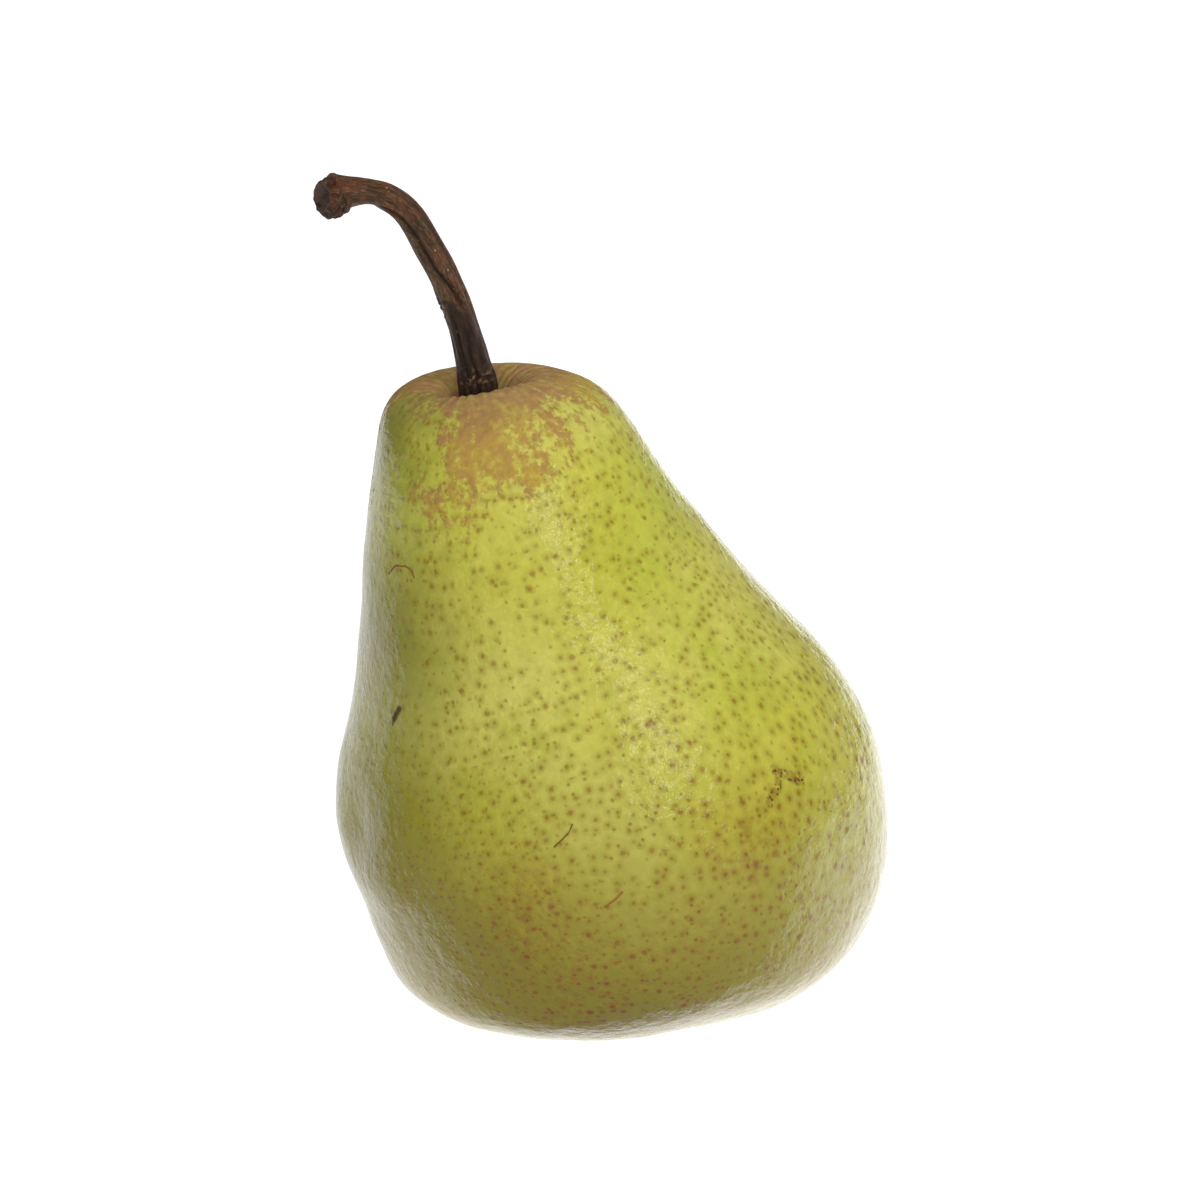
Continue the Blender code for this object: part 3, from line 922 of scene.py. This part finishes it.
def stalk_grid():
    """Places (rings, turns, 3) of the stalk in metres, and what is painted there."""
    foot = fruit_points(np.array([CAVITY_SHIFT]), np.array([0.0]), np.array([STALK_FOOT_HEIGHT]))[0]
    middle, radius, way, along, in_scar, length = stalk_rings()
    back = np.array([0.0, 1.0, 0.0]) - way * way[:, 1:2]
    back /= np.linalg.norm(back, axis=1)[:, None]
    inner = np.cross(way, back)
    along, turn = np.meshgrid(along, 360.0 * np.arange(STALK_TURNS) / STALK_TURNS, indexing="ij")
    radius = np.repeat(radius[:, None], STALK_TURNS, axis=1)
    in_scar = np.repeat(in_scar[:, None], STALK_TURNS, axis=1)
    angle = np.radians(turn)
    across = np.cos(angle)[..., None]
    out = back[:, None, :] * across + inner[:, None, :] * np.sin(angle)[..., None]

    wide = radius.copy()
    fade = 1.0 - 0.6 * eased(along, 0.86, 0.93)
    for count, depth, start, twist in RIDGES:
        wide += radius * depth * np.cos(count * angle + np.radians(start + twist * along)) * fade
    wavy = np.stack([np.cos(angle), np.sin(angle), along * length * 0.35], axis=-1) * 2.0 * MM
    wander = noise_at(wavy, 3.0, 21)
    push, crevice_shade = furrowed(along, turn + WANDER * wander, radius)
    wide += push
    thready = np.stack([np.cos(angle) * 2.0, np.sin(angle) * 2.0, along * length * 0.14], axis=-1) * MM
    fibres = noise_at(thready, 0.62, 22)
    wide += FIBRE_DEPTH * fibres * (1.0 - 0.5 * in_scar)
    # Dips between the fibres, the foot's pleats and the knob's roughness get painted shade too.
    crevice_shade = np.maximum(crevice_shade, 0.55 * eased(-fibres, 0.15, 0.6))
    foot_share = 1.0 - eased(along, 0.10, 0.17)
    pleats = np.cos(FOOT_PLEATS * angle + 1.5 * wander)
    wide += foot_share * (FOOT_PLEAT_DEPTH * pleats + FOOT_SPREAD)
    crevice_shade = np.maximum(crevice_shade, foot_share * eased(-pleats, 0.2, 0.9) * 0.8)

    bark = foot + (middle[:, None, :] + out * wide[..., None]) * MM
    rough, rougher, finer = (noise_at(bark, *waves) for waves in BARK_NOISES)
    on_side = radius > 1.0
    by_rough, by_rougher, by_finer = KNOB_ROUGHNESS
    knob = eased(along, 0.865, 0.93) * (0.25 + 0.75 * around_bell(turn, 105.0, 80.0))
    wide += on_side * knob * (by_rough * rough + by_rougher * rougher + by_finer * finer)
    for place in (KNOB_LOBE, SCAR_DENT):
        wide += on_side * place[4] * region(along, turn, place)
    flaky = region(along, turn, FLAKES)
    foot_bits = region(along, turn, FOOT_BITS)
    wide += flaky * FLAKES[4] * eased(finer, -0.1, 0.2)
    wide += foot_bits * FOOT_BITS[4] * eased(finer, 0.0, 0.3)
    wide += region(along, turn, UNDERSIDE) * UNDERSIDE[4] * rough
    crevice_shade = np.maximum(crevice_shade, knob * eased(-rough, 0.05, 0.4) * 0.9)
    crevice_shade = np.maximum(crevice_shade, foot_bits * eased(-finer, 0.0, 0.3) * 0.7)

    grid = foot + (middle[:, None, :] + out * wide[..., None]) * MM
    grid += way[:, None, :] * (in_scar * (1.0 - in_scar) * 0.9 * rough * MM)[..., None]
    # The scar is turned a little towards the camera and upwards.
    turned_scar = SCAR_BACK - np.cos(angle) * wide * SCAR_TURNED - np.sin(angle) * wide * SCAR_RAISED
    grid -= way[:, None, :] * (turned_scar * eased(along, 0.90, 1.0) * MM)[..., None]

    burnt_from = 0.37 + 0.055 * np.sin(angle) + 0.02 * rougher
    burnt = 1.0 - eased(along, burnt_from - 0.03, burnt_from + 0.015)
    burnt *= 1.0 - 0.45 * around_bell(turn, 262.0, 40.0) * eased(along, 0.1, 0.2)
    olive_stretch = eased(along, 0.36, 0.44) * (1.0 - eased(along, 0.66, 0.74))
    outer_stretch = eased(along, 0.2, 0.3) * (1.0 - eased(along, 0.84, 0.9))
    light = flaky * eased(finer, 0.0, 0.25) + 0.6 * foot_bits * eased(finer, 0.1, 0.35)
    painted = {
        "crevice_shade": crevice_shade,
        "burnt": burnt,
        "olive": around_bell(turn, 135.0, 38.0) * olive_stretch,
        "light": light,
        "outer": around_bell(turn, 215.0, 60.0) * outer_stretch,
        "orange": sum(place[4] * region(along, turn, place) for place in ORANGE_SPOTS),
        "scar": eased(in_scar, 0.1, 0.2),
        "knob": eased(along, 0.88, 0.93) * (0.3 + 0.7 * around_bell(turn, 95.0, 85.0)),
    }
    return grid, {label: np.clip(values, 0.0, 1.0) for label, values in painted.items()}


# How many waves of the bark's noises run along and around the stalk's map.
FIBRE_NET = (26.0, 16.0, 0.0)
HAIR_NET = (90.0, 40.0, 0.0)
PORES_APART = 1.4
# Layers of its colour: what is painted there if anything, the noise that breaks it up, two of the noise's
# values and the layer's share at each, and its colour.
BARK_LAYERS = (
    ("olive", "fibre", (0.3, 0.6), (0.5, 1.0), BARK_OLIVE),
    (None, "fibre", (0.56, 0.40), (0.0, 0.55), BARK_DARK),
    (None, "hair", (0.50, 0.68), (0.0, 0.42), BARK_LIGHT),
    (None, "grit", (0.50, 0.34), (0.0, 0.65), BARK_DARK),
    ("knob", "grit", (0.40, 0.58), (0.95, 0.25), BARK_DARK),
    ("orange", "grit", (0.35, 0.6), (0.4, 0.9), BARK_ORANGE),
    ("burnt", "fibre", (0.38, 0.64), (1.0, 0.8), BARK_CHAR),
    ("scar", "grit", (0.3, 0.7), (0.95, 0.6), BARK_GREY),
    # Creases and dips: painted shade.
    ("crevice_shade", "grit", (0.0, 1.0), (0.85, 0.85), BARK_SHADE_BLACK),
    ("light", "grit", (0.35, 0.55), (0.2, 0.9), BARK_LIGHT),
)


def bark_material():
    n = Nodes(bpy.data.materials.new("stalk_bark_look"))
    where = n.place()
    flat = n.map("skin")
    fibre = n.waves(n.vector("MULTIPLY", flat, FIBRE_NET), 1.0, 5.0, 0.6)["Fac"]
    hair = n.waves(n.vector("MULTIPLY", flat, HAIR_NET), 1.0, 3.0)["Fac"]
    patch = n.noise(where, 2.4, 4.0, 0.6)
    grit = n.noise(where, 0.45, 4.0, 0.65)

    colour = n.mix(n.ramp(patch, 0.36, 0.64), BARK_BROWN, BARK_RED)
    found = {"fibre": fibre, "hair": hair, "grit": grit}
    for label, broken_by, values, shares, tint in BARK_LAYERS:
        share = n.ramp(found[broken_by], *values, *shares)
        if label:
            share = n.times(n.painted(label), share)
        colour = n.mix(share, colour, tint)

    inputs = {"Vector": where, "Scale": 1.0 / (PORES_APART * MM), "Randomness": 1.0}
    cells = n.add("ShaderNodeTexVoronoi", inputs)
    kept = n.maths("GREATER_THAN", n.parts(cells.outputs["Color"])[0], 0.30)
    pores = n.times(n.ramp(cells.outputs["Distance"], 0.08, 0.14, 1.0, 0.0), kept)
    pores = n.times(pores, n.painted("outer"))
    colour = n.mix(n.times(pores, 0.85), colour, BARK_LIGHT)

    rough = n.ramp(fibre, 0.3, 0.7, 0.62, 0.46)
    n.set(Base_Color=colour, Roughness=n.plus(rough, n.times(n.painted("knob"), 0.2)))
    n.set(Specular_IOR_Level=0.5)
    n.bump([(fibre, 0.28), (hair, 0.09), (grit, 0.18), (pores, 0.05)])
    return n.owner


def make_stalk():
    grid, painted = stalk_grid()
    ends = (grid[0].mean(axis=0), grid[-1].mean(axis=0))
    painted = {label: values[:-1] for label, values in painted.items()}
    stalk = piece_from_grid("stem_bark", grid[:-1], ends, bark_material(), painted)
    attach(stalk, "root")
    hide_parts("stem")


# ---------------- dried flower remains

CALYX_RADIUS = 2.0
CALYX_WALL = 0.6
CALYX_TOP = 4.6
CALYX_HEIGHT = 1.5
CALYX_HOLLOW = 0.83
CALYX_TURNS = 96
# Outline of the cup from the middle of its top, over the wall, to the middle of its hollow: drop and radius.
CALYX_OUTLINE = (
    (0.0, 0.05),
    (0.0, 0.85 * CALYX_RADIUS),
    (0.18 * CALYX_HEIGHT, 0.98 * CALYX_RADIUS),
    (0.6 * CALYX_HEIGHT, CALYX_RADIUS),
    (0.95 * CALYX_HEIGHT, 0.97 * CALYX_RADIUS),
    (CALYX_HEIGHT, 0.84 * CALYX_RADIUS),
    (0.95 * CALYX_HEIGHT, CALYX_RADIUS - CALYX_WALL),
    (CALYX_HEIGHT - CALYX_HOLLOW, 0.9 * (CALYX_RADIUS - CALYX_WALL)),
    (CALYX_HEIGHT - CALYX_HOLLOW, 0.05),
)
SEPAL_COUNT = 5
SEPAL_FIRST_AZIMUTH = 18.0
SEPAL_LENGTH = 3.24
SEPAL_WIDTH = 2.1
SEPAL_TAPER = 0.85
SEPAL_THICKNESS = 0.35
SEPAL_RING = 2.75
SEPAL_CURL = 0.9
SEPAL_CUPPING = 0.22
SEPAL_HUB_HEIGHT = 4.3
SEPAL_ROWS = 60
SEPAL_TURNS = 40
HUSK_BROWN = srgb(92, 66, 44)
HUSK_DARK = srgb(52, 38, 28)
HUSK_PALE = srgb(140, 112, 78)


def husk_material(name):
    """Dry and papery: brown with dark patches, pale veins and dark grit."""
    n = Nodes(bpy.data.materials.new(name))
    where = n.place()
    patch = n.noise(where, 1.2, 4.0, 0.6)
    vein = n.noise(where, 0.5, 3.0, 0.6, stretch=(1.0, 1.0, 0.3))
    grit = n.noise(where, 0.2, 3.0)
    colour = n.mix(n.ramp(patch, 0.35, 0.65), HUSK_BROWN, HUSK_DARK)
    colour = n.mix(n.ramp(vein, 0.55, 0.72, 0.0, 0.6), colour, HUSK_PALE)
    colour = n.mix(n.ramp(grit, 0.5, 0.7, 0.0, 0.3), colour, HUSK_DARK)
    n.set(Base_Color=colour, Roughness=n.ramp(grit, 0.3, 0.7, 0.72, 0.92))
    n.bump([(patch, 0.08), (vein, 0.06), (grit, 0.02)])
    return n.owner


def make_calyx(husk):
    centre = fruit_points(np.array([BASIN_SHIFT]), np.array([0.0]), np.array([CALYX_TOP]))[0]
    rows = smooth_through(CALYX_OUTLINE, 8)
    angle = ROUND * np.arange(CALYX_TURNS) / CALYX_TURNS
    drop, radius = rows[::-1, :1], rows[::-1, 1:]
    pleats = np.cos(10.0 * angle) * 0.05 + np.cos(23.0 * angle + 1.0) * 0.03
    wide = radius * (1.0 + pleats)
    grid = np.stack([wide * np.cos(angle), wide * np.sin(angle), -drop + 0.0 * angle], axis=-1) * MM + centre
    grid += way_out(grid) * (0.06 * MM * noise_at(grid, 0.5, 31))[..., None]
    ends = (grid[0].mean(axis=0), grid[-1].mean(axis=0))
    cup = piece_from_grid("calyx_cup", grid, ends, husk)
    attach(cup, "root")
    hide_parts("calyx")


def make_sepal(number, husk):
    """A dried blade hanging from the cup's rim, crinkled and turned out at its tip."""
    azimuth = ROUND * (number - 1) / SEPAL_COUNT + math.radians(SEPAL_FIRST_AZIMUTH)
    hub = fruit_points(np.array([BASIN_SHIFT]), np.array([0.0]), np.array([SEPAL_HUB_HEIGHT]))[0]
    along = np.linspace(0.0, 1.0, SEPAL_ROWS)[:, None]
    angle = ROUND * np.arange(SEPAL_TURNS) / SEPAL_TURNS
    half = 0.5 * SEPAL_WIDTH * (1.0 - SEPAL_TAPER * along**1.5)
    ragged = 1.0 + 0.06 * np.cos(31.0 * along + number) + 0.04 * np.cos(57.0 * along + 2.0 * number)
    side = half * ragged * np.cos(angle)
    thick = 0.5 * SEPAL_THICKNESS * np.sin(angle) * (1.0 - 0.4 * along)
    crinkle = 0.09 * np.sin(9.0 * along + 3.0 * side + number) * along
    vein = 0.05 * np.exp(-((side / 0.16) ** 2)) * np.sign(np.sin(angle))
    outwards = SEPAL_RING + SEPAL_CURL * along**2 - SEPAL_CUPPING * side**2 + thick + crinkle + vein
    x = outwards * math.cos(azimuth) - side * math.sin(azimuth)
    y = outwards * math.sin(azimuth) + side * math.cos(azimuth)
    grid = np.stack([x, y, -SEPAL_LENGTH * along + 0.0 * angle], axis=-1) * MM + hub
    ends = (grid[0].mean(axis=0), grid[-1].mean(axis=0))
    blade = piece_from_grid(f"sepal_blade_{number}", grid[:, ::-1], ends, husk)
    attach(blade, "root")
    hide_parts(f"sepal_{number}")


# ---------------- studio

# From here on lengths are metres.
AIM = Vector((3.65, 4.0, 53.0)) * MM
CAMERA_AWAY = 0.9
CAMERA_DOWN = math.radians(17.0)
SENSOR_WIDTH = 36.0
VIEW_WIDTH = 154.4 * MM
FLOOR_REACH = 4.0
FLOOR_GAP = 0.05 * MM
TABLE_SEEN = 1.0  # the table's glow as the camera sees it, at least
TABLE_GLOW = (0.16, 1.25)  # what it lends the fruit: in front, and behind
TABLE_EDGE = (-0.0268, -0.0198)  # the glow grows from the first to the second between these depths
TABLE_SLANT = 0.05  # that edge comes forward by this much for each metre to the right
TABLE_FALL = 0.25  # and draws back by this much for each metre to the left
TABLE_FALL_FROM = 0.03  # once it is this far out
TABLE_LEFT_TO_RIGHT = (-0.1, 0.1, 0.64, 1.15)  # two places across, and the share of the glow at each
TABLE_FAR_RIGHT = (0.13, 0.30, 1.0, 0.45)
TABLE_NEAR = (0.05, 0.09, 1.08, 1.0)  # two distances from the middle, and the share at each
TENT_TURN = (0.25, 0.6)  # how far a direction points back where the tent starts to brighten, and is brightest
TENT_FRONT = 0.013
TENT_BACK = 0.085
TENT_SEEN = 1.0  # the tent as the camera sees it
# Lamps: place, size, power, and whether the fruit mirrors them.
LAMPS = {
    "big_lamp": ((0.62, -0.78, 1.10), (1.2, 1.0), 11.0, False),
    "low_fill": ((-0.20, -1.10, 0.30), (1.0, 0.4), 7.2, False),
    "back_right": ((0.75, 0.60, 0.75), (1.0, 0.9), 6.0, False),
    "back_left": ((-0.70, 0.75, 0.65), (1.0, 0.9), 2.5, False),
    "small_lamp": ((0.50, -0.92, 0.62), (0.24, 0.36), 1.1, True),
}


def make_camera():
    data = bpy.data.cameras.new("camera")
    data.sensor_width = SENSOR_WIDTH
    data.lens = SENSOR_WIDTH * CAMERA_AWAY / VIEW_WIDTH
    data.clip_start = 0.01
    camera = bpy.data.objects.new("camera", data)
    bpy.context.scene.collection.objects.link(camera)
    back = Vector((0.0, -math.cos(CAMERA_DOWN), math.sin(CAMERA_DOWN)))
    camera.location = AIM + back * CAMERA_AWAY
    camera.rotation_euler = back.to_track_quat("Z", "Y").to_euler()
    bpy.context.scene.camera = camera


def make_floor():
    """A table that looks evenly white, and lends the fruit most of its light from behind."""
    sides = ((-1, -1), (1, -1), (1, 1), (-1, 1))
    corners = [(x * FLOOR_REACH, y * FLOOR_REACH, -FLOOR_GAP) for x, y in sides]
    mesh = bpy.data.meshes.new("floor")
    mesh.from_pydata(corners, [], [(0, 1, 2, 3)])
    n = Nodes(bpy.data.materials.new("table_white"))
    n.set(Base_Color=(0.2, 0.2, 0.2), Roughness=0.7, Emission_Color=(1.0, 1.0, 1.0))
    where = n.place()
    place = n.parts(where)
    far_left = n.maths("MAXIMUM", n.maths("SUBTRACT", -TABLE_FALL_FROM, place[0]), 0.0)
    depth = n.plus(place[1], n.times(place[0], TABLE_SLANT))
    depth = n.maths("SUBTRACT", depth, n.times(far_left, TABLE_FALL))
    beyond = n.ramp(depth, *TABLE_EDGE, *TABLE_GLOW)
    lent = n.times(beyond, n.ramp(place[0], *TABLE_LEFT_TO_RIGHT))
    lent = n.times(lent, n.ramp(place[0], *TABLE_FAR_RIGHT))
    lent = n.times(lent, n.ramp(n.vector("LENGTH", where), *TABLE_NEAR))
    seen = n.add("ShaderNodeLightPath").outputs["Is Camera Ray"]
    n.set(Emission_Strength=n.maths("MAXIMUM", lent, n.times(seen, TABLE_SEEN)))
    mesh.materials.append(n.owner)
    floor = bpy.data.objects.new("floor", mesh)
    bpy.context.scene.collection.objects.link(floor)


def add_light(name, place, size, power, mirrored):
    data = bpy.data.lights.new(name, "AREA")
    data.shape = "RECTANGLE"
    data.size, data.size_y = size
    data.energy = power
    light = bpy.data.objects.new(name, data)
    light.location = place
    light.visible_glossy = mirrored
    light.rotation_euler = (Vector(place) - AIM).to_track_quat("Z", "Y").to_euler()
    bpy.context.scene.collection.objects.link(light)


def make_surround():
    """A tent that lends a little light, most of it from behind, and is plain white where it is seen."""
    world = bpy.data.worlds.new("surround")
    bpy.context.scene.world = world
    n = Nodes(world, "Background")
    way = n.parts(n.add("ShaderNodeTexCoord").outputs["Generated"])
    backward = n.plus(way[1], n.times(way[0], TABLE_SLANT))
    lent = n.ramp(backward, *TENT_TURN, TENT_FRONT, TENT_BACK)
    seen = n.add("ShaderNodeLightPath").outputs["Is Camera Ray"]
    n.set(Color=(1.0, 1.0, 1.0), Strength=n.maths("MAXIMUM", lent, n.times(seen, TENT_SEEN)))
    bpy.context.scene.view_settings.view_transform = "Standard"


def main():
    make_surround()
    make_floor()
    make_camera()
    for name, (place, size, power, mirrored) in LAMPS.items():
        add_light(name, place, size, power, mirrored)
    make_skin()
    make_stalk()
    make_calyx(husk_material("calyx_husk_look"))
    sepal_husk = husk_material("sepal_husk_look")
    for number in range(1, SEPAL_COUNT + 1):
        make_sepal(number, sepal_husk)


main()
